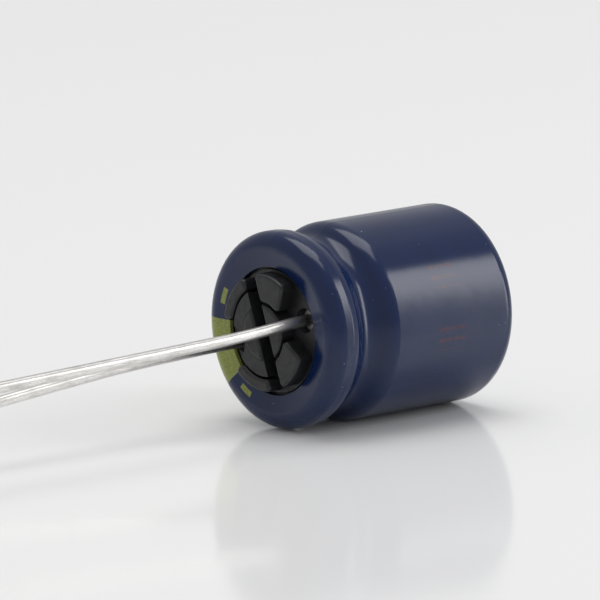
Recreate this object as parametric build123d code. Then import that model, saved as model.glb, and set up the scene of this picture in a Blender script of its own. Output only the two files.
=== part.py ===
from build123d import *
import os
from math import asin, cos, degrees, radians, sin, sqrt, tan

# Radial aluminium electrolytic capacitor, case size 10 x 12.5 mm, 5 mm lead pitch, lying on its side.
# Frame: X runs along the can's axis from the board seat (x = 0, the tops of the rubber pads) to the
# closed end. Z is up. The surface that it lies on is at z = -case_r.

# ---- case and sleeve --------------------------------------------------------------------------
case_r = 5.2            # outer radius over the sleeve
case_len = 12.5         # length over the sleeve
pad_proud = 0.6         # how far the rubber pads stand out of the sleeve
sleeve_wall = 0.2       # shrunk PVC film
shrink_gap = 0.01       # between the film and the can
can_wall = 0.25         # drawn aluminium
crimp_gap = 0.01        # between the can and the rubber
collar_drop = 0.04      # the rolled collar is this much smaller than the body
shoulder_r = 0.8        # round of the rolled rim, outside the film
corner_r = 0.78         # round of the closed end, outside the film
dish_deg = 9.0         # the rim's front slopes inwards by this much
lip_open_r = 3.35       # opening of the film at the lead end
rear_open_r = 3.9       # opening of the film at the closed end
curl_r = 3.75           # where the can's rolled edge stops

# ---- crimped groove ---------------------------------------------------------------------------
groove_at = 2.77        # from the film's front to the middle of the groove
groove_depth = 0.72     # below the body
groove_out_r = 1.07     # rounds on both sides of the groove
groove_in_r = 1.07      # round at the bottom of the groove

# ---- pressure vent in the closed end ----------------------------------------------------------
vent_len = 6.2
vent_w = 0.3
vent_depth = 0.1

# ---- rubber end seal --------------------------------------------------------------------------
seal_nose_r = 3.2       # the part of the seal that shows inside the rolled rim
seal_back = 4.8         # x of the seal's inner face
floor_x = 0.93          # x of the low ground between the pads
slot_w = 0.86           # vent slot across the face
disc_r = 1.48           # centre disc
ring_w = 0.13           # groove around the centre disc
wide_disc_r = 2.28      # step around the disc on the cathode side
step_down = 0.1         # how far that step lies below the pads
pad_out_r = 3.08        # outer edge of the pads
pad_round = 0.26        # plan corners of the pads
pad_edge = 0.18         # rounded top edges
valley_deg = 54.8       # slope of the pads' edge beside the anode hole
valley_at = 1.1         # where that edge would cross the lead line
side_half_v = 1.25      # half width of the low ground beside the cathode hole
hole_mouth_r = 0.65     # mouth of each lead hole
tab_fit = 0.01          # between the rubber and the lead rods

# ---- leads ------------------------------------------------------------------------------------
pitch = 5.0
turn_deg = 20.0         # the lead line is turned by this much about the axis
wire_r = 0.3
weld_x = 1.36           # where the tinned wire is welded to the aluminium rod

# ---- lead tabs --------------------------------------------------------------------------------
rod_r = 0.55
rod_end_x = 5.3
press_from_x = 4.9      # where the rod starts to be pressed flat, behind the seal
paddle_w = 1.9
paddle_t = 0.18
paddle_end_x = 11.2

# ---- winding ----------------------------------------------------------------------------------
core_r = 0.75           # the hole left by the winding mandrel
half_turns = 22
anode_foil_t = 0.10
cathode_foil_t = 0.05
paper_t = 0.05
layer_gap = 0.01
tab_shift = 0.25        # how far the turns outside a tab are pushed out on its side
tab_fit_r = 0.03        # between a tab's paddle and the turns on both sides
paper_x = (5.45, 12.2)
foil_inset = 0.45       # the foils are this much narrower on both sides
tape_t = 0.06
tape_half_turns = 3

# Free routes of the two lead wires, outside the seal: (x, y, z), slightly bent, both ends free.
half_pitch_y = pitch / 2 * cos(radians(turn_deg))
half_pitch_z = pitch / 2 * sin(radians(turn_deg))
anode_route = [
    (-3.4, -2.30, 0.54),
    (-28.0, -1.62, -0.30),
]
cathode_route = [
    (-2.6, 2.38, -0.95),
    (-7.0, 2.45, -1.12),
    (-13.0, 2.58, -1.64),
    (-24.0, 2.86, -2.72),
]

front_x = pad_proud
rear_x = front_x + case_len
collar_r = case_r - collar_drop
groove_x = front_x + groove_at
groove_r = case_r - groove_depth
can_off = sleeve_wall + shrink_gap
inner_off = can_off + can_wall
seal_off = inner_off + crimp_gap


def at(x, r):
    """A point of a section: x along the axis, r out from it."""
    return Vector(x, 0, r)


def bow(cx, cr, radius, start, end):
    """An arc in the section plane about (cx, cr), angles from +X towards +r."""
    points = []
    for angle in (start, (start + end) / 2, end):
        points.append(at(cx + radius * cos(radians(angle)), cr + radius * sin(radians(angle))))
    return ThreePointArc(*points)


def half_width(side_r):
    """Axial distance from the groove's middle to the centre of the round beside it."""
    reach = groove_out_r + groove_in_r
    rise = reach - (side_r - groove_r)
    return sqrt(reach ** 2 - rise ** 2), degrees(asin(rise / reach))


def skin(off, lip_r, stop_x=None, rear_r=None):
    """The case's outline, moved inwards by off: dished front, rolled rim, groove, body, closed end."""
    centre = (front_x + shoulder_r, collar_r - shoulder_r)
    radius = shoulder_r - off
    foot = at(centre[0] - radius * cos(radians(dish_deg)), centre[1] - radius * sin(radians(dish_deg)))
    lip = at(foot.X + (foot.Z - lip_r) * tan(radians(dish_deg)), lip_r)
    edges = [Line(lip, foot), bow(*centre, radius, 180 + dish_deg, 90)]

    left_w, left_deg = half_width(collar_r)
    right_w, right_deg = half_width(case_r)
    left = (groove_x - left_w, collar_r - groove_out_r)
    right = (groove_x + right_w, case_r - groove_out_r)
    bottom = (groove_x, groove_r + groove_in_r)
    edges += [
        Line(edges[-1] @ 1, at(left[0], collar_r - off)),
        bow(*left, groove_out_r - off, 90, left_deg),
        bow(*bottom, groove_in_r + off, 180 + left_deg, 360 - right_deg),
        bow(*right, groove_out_r - off, 180 - right_deg, 90),
    ]
    if stop_x is not None:
        edges.append(Line(edges[-1] @ 1, at(stop_x, case_r - off)))
        return edges
    corner = (rear_x - corner_r, case_r - corner_r)
    edges += [
        Line(edges[-1] @ 1, at(corner[0], case_r - off)),
        bow(*corner, corner_r - off, 90, 0),
        Line(at(rear_x - off, corner[1]), at(rear_x - off, rear_r)),
    ]
    return edges


def turned(edges):
    """A closed section turned about the axis."""
    return revolve(make_face(edges), Axis.X)


def ends(edges):
    return edges[0] @ 0, edges[-1] @ 1


def make_sleeve():
    """Shrunk film over the can, open at both ends."""
    outer = skin(0, lip_open_r, rear_r=rear_open_r)
    inner = skin(sleeve_wall, lip_open_r, rear_r=rear_open_r)
    return turned(outer + inner + [Line(ends(outer)[0], ends(inner)[0]), Line(ends(outer)[1], ends(inner)[1])])


def make_can():
    """Drawn cup with a crimped groove, a rolled rim and a scored pressure vent in its closed end."""
    outer = skin(can_off, curl_r, rear_r=0)
    inner = skin(inner_off, curl_r, rear_r=0)
    tip_a = ends(outer)[0]
    tip_b = ends(inner)[0]
    tip_mid = (tip_a + tip_b) * 0.5 - Vector(0, 0, can_wall / 2)
    tip = ThreePointArc(tip_a, tip_mid, tip_b)
    cup = turned(outer + inner + [tip, Line(ends(outer)[1], ends(inner)[1])])
    face_x = rear_x - can_off
    section = Polyline((-vent_w / 2, 0), (vent_w / 2, 0), (0, vent_depth), close=True)
    for angle in (0, 90):
        plane = Plane(origin=(face_x, 0, -vent_len / 2), x_dir=(0, 1, 0), z_dir=(0, 0, 1))
        score = extrude(plane * make_face(section), vent_len)
        score = Rot(X=angle + turn_deg) * score
        cup -= score
    return cup


# The seal's face is drawn in its own plane: +U towards the anode, +V across, seen from the lead end.
def face_plane(x):
    return Plane(
        origin=(x, 0, 0),
        x_dir=(0, -cos(radians(turn_deg)), sin(radians(turn_deg))),
        z_dir=(-1, 0, 0),
    )


def half_plane(points):
    return make_face(Polyline(*points, close=True))


def pad_shapes():
    """Plan shapes of what stands up from the seal's low ground, each with how far below the top it ends."""
    big = 2 * pad_out_r
    edge_u = slot_w / 2
    anode_side = Pos(edge_u + big / 2, 0) * Rectangle(big, 2 * big)
    cathode_side = Pos(-edge_u - big / 2, 0) * Rectangle(big, 2 * big)
    disc = Circle(disc_r)
    reach = big / tan(radians(valley_deg))
    above_valley = half_plane([(0, 0), (valley_at, 0), (valley_at + reach, big), (0, big)])
    ring = Circle(pad_out_r) - Circle(disc_r + ring_w)
    anode_pad = ring & above_valley & anode_side
    side_ring = Circle(pad_out_r) - Circle(wide_disc_r + ring_w)
    above_side = Pos(0, side_half_v + big / 2) * Rectangle(2 * big, big)
    cathode_pad = side_ring & above_side & cathode_side
    notch = Pos(-pitch / 2, 0) * Circle(hole_mouth_r + 0.25)
    step = (Circle(wide_disc_r) - Circle(disc_r)) & cathode_side
    step -= notch
    shapes = [(disc & anode_side, 0), (disc & cathode_side, 0), (step, step_down)]
    for pad in (anode_pad, cathode_pad):
        rounded = fillet(pad.vertices(), pad_round)
        shapes.append((rounded, 0))
        shapes.append((mirror(rounded, Plane.XZ), 0))
    return shapes


def make_end_seal():
    """Rubber disc held by the groove, with raised pads, a vent slot and two lead holes."""
    outline = skin(seal_off, seal_nose_r, stop_x=seal_back)
    start, finish = ends(outline)
    body = turned(outline + [
        Polyline(start, at(floor_x, seal_nose_r), at(floor_x, 0), at(seal_back, 0), finish),
    ])
    for shape, drop in pad_shapes():
        pad = extrude(face_plane(floor_x) * shape, floor_x - drop)
        top = pad.faces().sort_by(Axis.X)[0]
        body += pad if drop else fillet(top.edges(), pad_edge)
    for sign in (1, -1):
        rod_hole = Pos(sign * pitch / 2, 0) * Circle(rod_r + tab_fit)
        mouth = Pos(sign * pitch / 2, 0) * Circle(hole_mouth_r)
        body -= extrude(face_plane(seal_back) * rod_hole, seal_back)
        body -= extrude(face_plane(weld_x) * mouth, weld_x)
    return body


def make_lead(sign, route):
    """Tinned wire swept along straight runs joined by tangent arcs."""
    start = (weld_x, -sign * half_pitch_y, sign * half_pitch_z)
    exit_point = (floor_x - 0.5, -sign * half_pitch_y, sign * half_pitch_z)
    points = [Vector(*p) for p in [start, exit_point] + route]
    radii = []
    for before, corner, after in zip(points, points[1:], points[2:]):
        run = min((corner - before).length, (after - corner).length)
        turn = radians((corner - before).get_angle(after - corner))
        radii.append(0.45 * run / tan(turn / 2))
    print("lead arc radii, mm:", [round(r, 1) for r in radii])
    path = FilletPolyline(*points, radius=radii)
    section = Plane(origin=path @ 0, z_dir=path % 0) * Circle(wire_r)
    return sweep(section, path=path)


def make_tab(sign, inner_r, centre_u, centre_v):
    """Aluminium rod through the seal, pressed flat into a curved paddle that lies on its foil."""
    rod = extrude(face_plane(rod_end_x) * Pos(sign * pitch / 2, 0) * Circle(rod_r), rod_end_x - weld_x)
    band = Circle(inner_r + paddle_t) - Circle(inner_r)
    band = Pos(centre_u, centre_v) * band
    window = Pos(sign * 50, 0) * Rectangle(100, paddle_w)
    strip = band & window
    flat = extrude(face_plane(paddle_end_x) * strip, paddle_end_x - press_from_x)
    return rod + flat


# Winding: each layer runs as half-turns of growing radius. The right half-turns share one centre and the
# left half-turns another, half a pitch lower, so the line stays smooth. Outside a tab the centre on its
# side moves out by tab_shift, and a short straight run joins the halves, which leaves the tab its pocket.
layer_t = [anode_foil_t, paper_t, cathode_foil_t, paper_t]
pitch_t = sum(layer_t) + len(layer_t) * layer_gap
anode_tab_half_turn = 2 * round((pitch / 2 - tab_shift - core_r) / pitch_t)
cathode_tab_half_turn = anode_tab_half_turn + 1


def layer_offset(index):
    return sum(layer_t[:index]) + index * layer_gap


def centre_of(step, index):
    """Centre of the half-turn number step of layer number index, in the (U, V) plane."""
    if step % 2 == 0:
        return (tab_shift if step >= anode_tab_half_turn else 0, 0)
    first = cathode_tab_half_turn if index >= 2 else cathode_tab_half_turn + 2
    return (-tab_shift if step >= first else 0, -pitch_t / 2)


def spiral_side(offset, index, first, last):
    """One side of a layer: its half-turns first to last, as tangent arcs and short straight runs."""
    edges = []
    for step in range(first, last):
        cu, cv = centre_of(step, index)
        radius = core_r + step * pitch_t / 2 + offset
        sense = 1 if step % 2 == 0 else -1
        begin = Vector(cu, cv - sense * radius)
        middle = Vector(cu + sense * radius, cv)
        finish = Vector(cu, cv + sense * radius)
        if edges and (edges[-1] @ 1 - begin).length > 1e-6:
            edges.append(Line(edges[-1] @ 1, begin))
        edges.append(ThreePointArc(begin, middle, finish))
    return edges


def make_layer(index, thickness, first, last, x_range, offset):
    """A wound strip: the space between its two sides, as wide as x_range."""
    inside = spiral_side(offset, index, first, last)
    outside = spiral_side(offset + thickness, index, first, last)
    caps = [Line(ends(inside)[0], ends(outside)[0]), Line(ends(inside)[1], ends(outside)[1])]
    return extrude(face_plane(x_range[1]) * make_face(inside + outside + caps), x_range[1] - x_range[0])


def make_all():
    foil_x = (paper_x[0] + foil_inset, paper_x[1] - foil_inset)
    last = half_turns
    parts = {
        "sleeve": make_sleeve(),
        "can": make_can(),
        "end_seal": make_end_seal(),
        "anode_lead_wire": make_lead(1, anode_route),
        "cathode_lead_wire": make_lead(-1, cathode_route),
        "anode_foil": make_layer(0, anode_foil_t, 1, last - 1, foil_x, layer_offset(0)),
        "separator_inner": make_layer(1, paper_t, 0, last, paper_x, layer_offset(1)),
        "cathode_foil": make_layer(2, cathode_foil_t, 1, last, foil_x, layer_offset(2)),
        "separator_outer": make_layer(3, paper_t, 0, last, paper_x, layer_offset(3)),
        "winding_tape": make_layer(0, tape_t, last, last + tape_half_turns, foil_x, layer_offset(0)),
    }
    anode_r = core_r + anode_tab_half_turn * pitch_t / 2 - layer_gap + tab_fit_r
    cathode_r = core_r + cathode_tab_half_turn * pitch_t / 2 + layer_offset(2) - layer_gap + tab_fit_r
    parts["anode_tab"] = make_tab(1, anode_r, 0, 0)
    parts["cathode_tab"] = make_tab(-1, cathode_r, 0, -pitch_t / 2)
    return parts


os.makedirs("parts", exist_ok=True)
for node, solid in make_all().items():
    solid.label = node
    export_step(solid, f"parts/{node}.step")
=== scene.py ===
import math

import bpy
import numpy as np
from mathutils import Matrix, Vector


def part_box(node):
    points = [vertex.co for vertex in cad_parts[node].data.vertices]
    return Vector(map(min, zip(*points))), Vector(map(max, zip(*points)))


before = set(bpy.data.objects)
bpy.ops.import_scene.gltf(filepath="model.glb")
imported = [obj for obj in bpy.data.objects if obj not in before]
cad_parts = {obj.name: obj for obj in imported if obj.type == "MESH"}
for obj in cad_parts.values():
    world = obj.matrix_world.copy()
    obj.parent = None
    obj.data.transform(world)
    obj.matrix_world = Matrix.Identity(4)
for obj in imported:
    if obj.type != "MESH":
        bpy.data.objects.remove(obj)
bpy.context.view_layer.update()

MM = 0.001
TURN = math.radians(20.0)        # the lead line is turned by this much about the can's axis
PITCH = 5.0 * MM
CASE_R = (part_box("sleeve")[1][2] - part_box("sleeve")[0][2]) / 2
FRONT_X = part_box("sleeve")[0][0]
REAR_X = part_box("sleeve")[1][0]
FLOOR_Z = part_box("sleeve")[0][2]


# ---- helpers ----------------------------------------------------------------------------------

def linear(code, alpha=1.0):
    """sRGB hex to linear colour."""
    values = [int(code[i:i + 2], 16) / 255 for i in (1, 3, 5)]
    return [v / 12.92 if v <= 0.04045 else ((v + 0.055) / 1.055) ** 2.4 for v in values] + [alpha]


def add(tree, kind, links=None, **settings):
    """Adds a node: settings are its properties, or its sockets' values where no property has that name;
    links give each socket, by name or number, the output that feeds it."""
    node = tree.nodes.new(kind)
    for name, value in settings.items():
        if hasattr(node, name):
            setattr(node, name, value)
        else:
            node.inputs[name.replace("_", " ")].default_value = value
    for name, output in (links or {}).items():
        tree.links.new(output, node.inputs[name])
    return node


def new_material(name):
    """A material with an empty tree, its Principled shader and the object coordinates in metres."""
    material = bpy.data.materials.new(name)
    material.use_nodes = True
    tree = material.node_tree
    tree.nodes.clear()
    out = add(tree, "ShaderNodeOutputMaterial")
    shader = add(tree, "ShaderNodeBsdfPrincipled")
    tree.links.new(shader.outputs[0], out.inputs["Surface"])
    coords = add(tree, "ShaderNodeTexCoord").outputs["Object"]
    return material, tree, shader, coords


def set_shader(tree, shader, links=None, **values):
    for name, value in values.items():
        shader.inputs[name.replace("_", " ")].default_value = value
    for name, output in (links or {}).items():
        tree.links.new(output, shader.inputs[name])


def noise(tree, coords, size_mm, detail=3.0, roughness=0.55, stretch=(1, 1, 1)):
    """Noise whose features are about size_mm wide; stretch draws it out along an axis."""
    scaled = add(tree, "ShaderNodeMapping", {0: coords}, vector_type="POINT")
    scaled.inputs["Scale"].default_value = [1 / (size_mm * MM * s) for s in stretch]
    node = add(tree, "ShaderNodeTexNoise", {"Vector": scaled.outputs[0]}, Scale=1.0, Detail=detail)
    node.inputs["Roughness"].default_value = roughness
    return node.outputs["Fac"]


def ramp(tree, value, stops):
    """A colour ramp through (position, hex colour or grey level) stops."""
    node = add(tree, "ShaderNodeValToRGB", {"Fac": value})
    elements = node.color_ramp.elements
    while len(elements) < len(stops):
        elements.new(0.5)
    for element, (place, colour) in zip(elements, stops):
        element.position = place
        element.color = linear(colour) if isinstance(colour, str) else (colour, colour, colour, 1)
    return node.outputs["Color"]


def calc(tree, operation, a, b=None, clamp=False):
    """A Math node on outputs or plain numbers."""
    node = add(tree, "ShaderNodeMath", operation=operation, use_clamp=clamp)
    for place, value in enumerate((a, b)):
        if value is None:
            continue
        if isinstance(value, (int, float)):
            node.inputs[place].default_value = value
        else:
            tree.links.new(value, node.inputs[place])
    return node.outputs[0]


def mixed(tree, factor, a, b):
    """Colour a where factor is 0, b where it is 1."""
    node = add(tree, "ShaderNodeMix", data_type="RGBA")
    tree.links.new(factor, node.inputs["Factor"])
    for place, value in ((6, a), (7, b)):
        if isinstance(value, str):
            node.inputs[place].default_value = linear(value)
        else:
            tree.links.new(value, node.inputs[place])
    return node.outputs[2]


def bumped(tree, shader, height, depth_mm, strength=1.0):
    node = add(tree, "ShaderNodeBump", {"Height": height}, Distance=depth_mm * MM, Strength=strength)
    tree.links.new(node.outputs[0], shader.inputs["Normal"])


def within(tree, value, low, high, soft):
    """1 where value lies between low and high, with edges that fade over soft."""
    rise = add(tree, "ShaderNodeMapRange", {"Value": value})
    rise.inputs["From Min"].default_value = low - soft / 2
    rise.inputs["From Max"].default_value = low + soft / 2
    fall = add(tree, "ShaderNodeMapRange", {"Value": value})
    fall.inputs["From Min"].default_value = high - soft / 2
    fall.inputs["From Max"].default_value = high + soft / 2
    return calc(tree, "MULTIPLY", rise.outputs[0], calc(tree, "SUBTRACT", 1.0, fall.outputs[0]))


# ---- materials --------------------------------------------------------------------------------

def case_angle(tree, coords):
    """Angle about the can's axis, in degrees: 0 at the cathode lead, growing towards the top."""
    split = add(tree, "ShaderNodeSeparateXYZ", {0: coords})
    turn = add(tree, "ShaderNodeVectorRotate", {"Vector": coords}, rotation_type="X_AXIS")
    turn.inputs["Angle"].default_value = TURN
    flat = add(tree, "ShaderNodeSeparateXYZ", {0: turn.outputs[0]})
    angle = calc(tree, "ARCTAN2", flat.outputs["Z"], flat.outputs["Y"])
    radius = calc(tree, "POWER", calc(tree, "ADD", calc(tree, "MULTIPLY", flat.outputs["Y"], flat.outputs["Y"]),
                                      calc(tree, "MULTIPLY", flat.outputs["Z"], flat.outputs["Z"])), 0.5)
    return calc(tree, "MULTIPLY", angle, 180 / math.pi), split.outputs["X"], radius


def end_bars(tree, angle, radius, along):
    """Short plain bars of the stripe's ink beside it, on the dished rim."""
    front = within(tree, along, FRONT_X - MM, FRONT_X + 0.8 * MM, 0.02 * MM)
    ring = within(tree, radius, 3.78 * MM, 4.08 * MM, 0.05 * MM)
    upper = calc(tree, "MULTIPLY", within(tree, angle, 34, 47, 0.5), ring)
    lower = calc(tree, "MULTIPLY", within(tree, angle, -45, -33, 0.5), ring)
    return calc(tree, "MULTIPLY", front, calc(tree, "ADD", upper, lower), clamp=True)


def date_bars(tree, angle, along, coords):
    """Two rows of faint dark red bars on the side that faces away from the stripe, in place of small print."""
    rows = 0.0
    beat = calc(tree, "MODULO", angle, 6.5)
    tick = within(tree, calc(tree, "ABSOLUTE", beat), 1.2, 3.6, 0.5)
    for low, high, start, stop in ((7.7, 9.3, 160, 178), (7.7, 9.5, -163, -146)):
        across = within(tree, angle, start, stop, 0.4)
        row = calc(tree, "MULTIPLY", within(tree, along, low * MM, high * MM, 0.05 * MM), across)
        rows = calc(tree, "ADD", row, rows)
    worn = ramp(tree, noise(tree, coords, 0.25, detail=4), [(0.4, 0.2), (0.6, 0.75)])
    return calc(tree, "MULTIPLY", calc(tree, "MULTIPLY", rows, tick), worn, clamp=True)


def sleeve_material():
    """Heat-shrunk PVC film: a glossy deep navy skin, very slightly uneven where it shrank over the metal,
    with a flat yellow-green ink stripe down the cathode side and a few specks of dust."""
    material, tree, shader, coords = new_material("PVC_film_shrunk_navy_glossy")
    angle, along, radius = case_angle(tree, coords)
    stripe = within(tree, angle, -23, 22, 0.5)
    # plain bars without ink along the stripe, the usual minus marks, 3.4 mm apart
    beat = calc(tree, "MODULO", calc(tree, "SUBTRACT", along, FRONT_X - 0.9 * MM), 3.6 * MM)
    bar = calc(tree, "MULTIPLY", within(tree, beat, 1.5 * MM, 3.1 * MM, 0.05 * MM), within(tree, angle, -7, 1, 0.6))
    on_side = within(tree, radius, 4.6 * MM, 6 * MM, 0.1 * MM)
    bar = calc(tree, "MULTIPLY", bar, on_side)
    ink = calc(tree, "MULTIPLY", stripe, calc(tree, "SUBTRACT", 1.0, bar))
    grain = noise(tree, coords, 0.12, detail=4)
    stripe_colour = ramp(tree, grain, [(0.25, "#6b7238"), (0.5, "#878e47"), (0.8, "#9aa154")])
    film = ramp(tree, noise(tree, coords, 2.5), [(0.2, "#03193f"), (0.8, "#051e49")])
    colour = mixed(tree, ink, film, stripe_colour)
    colour = mixed(tree, end_bars(tree, angle, radius, along), colour, stripe_colour)
    colour = mixed(tree, date_bars(tree, angle, along, coords), colour, "#431a2c")
    speck = ramp(tree, noise(tree, coords, 0.16, detail=1), [(0.80, 0.0), (0.83, 1.0)])
    colour = mixed(tree, speck, colour, "#9aa3b5")
    set_shader(tree, shader, {"Base Color": colour}, IOR=1.53, Roughness=0.18, Specular_IOR_Level=0.36)
    wave = noise(tree, coords, 1.6, detail=2)
    bumped(tree, shader, wave, 0.02, 0.35)
    return material


def rubber_material():
    """Moulded black rubber: satin, with fine mould grain and scattered specks of pale dust."""
    material, tree, shader, coords = new_material("EPT_rubber_moulded_satin")
    dust = ramp(tree, noise(tree, coords, 0.5, detail=5), [(0.35, "#121315"), (0.7, "#1d1e21")])
    speck = ramp(tree, noise(tree, coords, 0.12, detail=1), [(0.79, 0.0), (0.83, 1.0)])
    colour = mixed(tree, speck, dust, "#74767a")
    rough = ramp(tree, noise(tree, coords, 0.3), [(0.3, 0.38), (0.7, 0.55)])
    set_shader(tree, shader, {"Base Color": colour, "Roughness": rough}, IOR=1.5)
    bumped(tree, shader, noise(tree, coords, 0.05, detail=4), 0.01, 0.5)
    return material


def wire_material():
    """Tinned copper-clad steel wire: bright soft tin, drawn lengthwise, with duller patches and fine pits."""
    material, tree, shader, coords = new_material("tinned_wire_bright")
    patches = noise(tree, coords, 0.35, detail=5, roughness=0.65, stretch=(3.0, 1, 1))
    colour = ramp(tree, patches, [(0.3, "#bab8b5"), (0.5, "#d3d1ce"), (0.72, "#e6e4e1")])
    rough = ramp(tree, patches, [(0.3, 0.36), (0.7, 0.27)])
    set_shader(tree, shader, {"Base Color": colour, "Roughness": rough}, Metallic=1.0)
    draw = noise(tree, coords, 0.06, detail=4, stretch=(9.0, 1, 1))
    bumped(tree, shader, draw, 0.006, 0.3)
    return material


def can_material():
    """Drawn aluminium: satin, with faint rings of the drawing tool about the axis."""
    material, tree, shader, coords = new_material("aluminium_drawn_satin")
    angle, along, radius = case_angle(tree, coords)
    rings = add(tree, "ShaderNodeTexNoise", {"W": calc(tree, "MULTIPLY", radius, 1 / (0.08 * MM))},
                noise_dimensions="1D", Scale=1.0, Detail=3.0).outputs["Fac"]
    colour = ramp(tree, rings, [(0.3, "#c3c5c8"), (0.7, "#dadbdd")])
    set_shader(tree, shader, {"Base Color": colour}, Metallic=1.0, Roughness=0.34)
    bumped(tree, shader, rings, 0.006, 0.5)
    return material


def inner_metal(name, dark, pale, grain_mm, rough):
    """Etched or pressed aluminium inside the can: matt grey with a fine even grain."""
    material, tree, shader, coords = new_material(name)
    colour = ramp(tree, noise(tree, coords, grain_mm, detail=5), [(0.3, dark), (0.7, pale)])
    set_shader(tree, shader, {"Base Color": colour}, Metallic=1.0, Roughness=rough)
    bumped(tree, shader, noise(tree, coords, grain_mm / 3, detail=3), 0.01, 0.5)
    return material


def paper_material():
    """Kraft paper soaked with electrolyte: warm tan, long fibres across the strip, slightly wet."""
    material, tree, shader, coords = new_material("kraft_paper_soaked")
    fibre = noise(tree, coords, 0.1, detail=5, stretch=(6.0, 1, 1))
    colour = ramp(tree, fibre, [(0.3, "#a88c5e"), (0.7, "#cdb489")])
    set_shader(tree, shader, {"Base Color": colour}, Roughness=0.5, IOR=1.4)
    bumped(tree, shader, fibre, 0.015, 0.5)
    return material


def tape_material():
    """Polypropylene winding tape: smooth amber film."""
    material, tree, shader, coords = new_material("polypropylene_tape_amber")
    colour = ramp(tree, noise(tree, coords, 1.0), [(0.3, "#b88b3c"), (0.7, "#caa055")])
    set_shader(tree, shader, {"Base Color": colour}, Roughness=0.3, IOR=1.49)
    return material


def floor_material():
    """Polished white sheet: pale, with a soft mirror image of what lies on it that fades with height."""
    material, tree, shader, coords = new_material("polished_white_sheet")
    smear = noise(tree, coords, 12.0, detail=4, stretch=(1, 4, 1))
    rough = ramp(tree, smear, [(0.3, 0.10), (0.7, 0.13)])
    set_shader(tree, shader, {"Roughness": rough}, IOR=1.45)
    shader.inputs["Base Color"].default_value = linear("#f9f9f9")
    return material


# ---- pieces -----------------------------------------------------------------------------------

def dress(node, material):
    """Puts a material on a CAD node in place of its own."""
    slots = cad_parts[node].data.materials
    slots.clear()
    slots.append(material)


def dress_all():
    wire = wire_material()
    tab = inner_metal("aluminium_pressed_tab", "#b4b6b9", "#d3d4d6", 0.2, 0.35)
    paper = paper_material()
    looks = {
        "sleeve": sleeve_material(),
        "can": can_material(),
        "end_seal": rubber_material(),
        "anode_lead_wire": wire,
        "cathode_lead_wire": wire,
        "anode_tab": tab,
        "cathode_tab": tab,
        "anode_foil": inner_metal("aluminium_foil_formed", "#7c7f84", "#94979c", 0.1, 0.6),
        "cathode_foil": inner_metal("aluminium_foil_etched", "#9b9da1", "#b3b5b8", 0.1, 0.55),
        "separator_inner": paper,
        "separator_outer": paper,
        "winding_tape": tape_material(),
    }
    for node, material in looks.items():
        dress(node, material)
        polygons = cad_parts[node].data.polygons
        polygons.foreach_set("material_index", np.zeros(len(polygons), np.int32))


# ---- stage ------------------------------------------------------------------------------------

def make_floor():
    half = 1.5
    mesh = bpy.data.meshes.new("floor")
    corners = [(-half, -half, FLOOR_Z), (half, -half, FLOOR_Z), (half, half, FLOOR_Z), (-half, half, FLOOR_Z)]
    mesh.from_pydata(corners, [], [(0, 1, 2, 3)])
    mesh.materials.append(floor_material())
    floor = bpy.data.objects.new("floor", mesh)
    bpy.context.scene.collection.objects.link(floor)


def make_world():
    world = bpy.data.worlds.new("studio")
    bpy.context.scene.world = world
    world.use_nodes = True
    tree = world.node_tree
    tree.nodes.clear()
    back = add(tree, "ShaderNodeBackground", Strength=WORLD_STRENGTH)
    back.inputs["Color"].default_value = linear("#ffffff")
    out = add(tree, "ShaderNodeOutputWorld")
    tree.links.new(back.outputs[0], out.inputs["Surface"])


def make_lamp(name, direction, distance, size, power, target=(0.006, 0, 0)):
    """A square softbox in the given direction from the part, facing it."""
    lamp = bpy.data.lights.new(name, "AREA")
    lamp.shape = "RECTANGLE"
    lamp.size, lamp.size_y = size
    lamp.energy = power
    thing = bpy.data.objects.new(name, lamp)
    bpy.context.scene.collection.objects.link(thing)
    away = Vector(direction).normalized()
    thing.location = Vector(target) + away * distance
    thing.rotation_euler = (-away).to_track_quat("-Z", "Y").to_euler()


WORLD_STRENGTH = 0.55

CAMERA = {
    "distance": 520.0 * MM,                # from the sleeve's front
    "heading": math.radians(40.84),        # between the view and the horizontal line across the axis
    "down": math.radians(10.76),
    "roll": -0.0097,
    "lens": 617.9,
    "side": 0.298 * 5.2 * MM,              # the front's centre lies this far left of the picture's middle
    "height": 20.32 * 5.2 * MM,            # above the floor
}


def make_camera():
    """The camera looks down at a small angle, far away, almost along a parallel view."""
    turn, down, roll = CAMERA["heading"], CAMERA["down"], CAMERA["roll"]
    right = Vector((math.cos(turn), -math.sin(turn), 0))
    ahead = Vector((math.sin(turn), math.cos(turn), 0))
    place = Vector((FRONT_X, 0, FLOOR_Z)) + right * CAMERA["side"] - ahead * CAMERA["distance"]
    place.z += CAMERA["height"]
    look = ahead * math.cos(down) - Vector((0, 0, math.sin(down)))
    up = ahead * math.sin(down) + Vector((0, 0, math.cos(down)))
    x_axis = right * math.cos(roll) + up * math.sin(roll)
    y_axis = up * math.cos(roll) - right * math.sin(roll)
    data = bpy.data.cameras.new("camera")
    data.lens = CAMERA["lens"]
    data.clip_end = 10
    camera = bpy.data.objects.new("camera", data)
    camera.matrix_world = Matrix((x_axis, y_axis, -look)).transposed().to_4x4()
    camera.location = place
    bpy.context.scene.collection.objects.link(camera)
    bpy.context.scene.camera = camera


make_camera()
make_floor()
make_world()
right = Vector((math.cos(CAMERA["heading"]), -math.sin(CAMERA["heading"]), 0))
ahead = Vector((math.sin(CAMERA["heading"]), math.cos(CAMERA["heading"]), 0))
make_lamp("softbox_side", (0.70, -0.60, 0.34), 0.4, (0.10, 0.34), 0.55)
make_lamp("softbox_top", Vector((0, 0, 1)) + ahead * 0.2, 0.6, (0.5, 0.4), 1.7)
dress_all()
bpy.context.scene.view_settings.view_transform = "Standard"
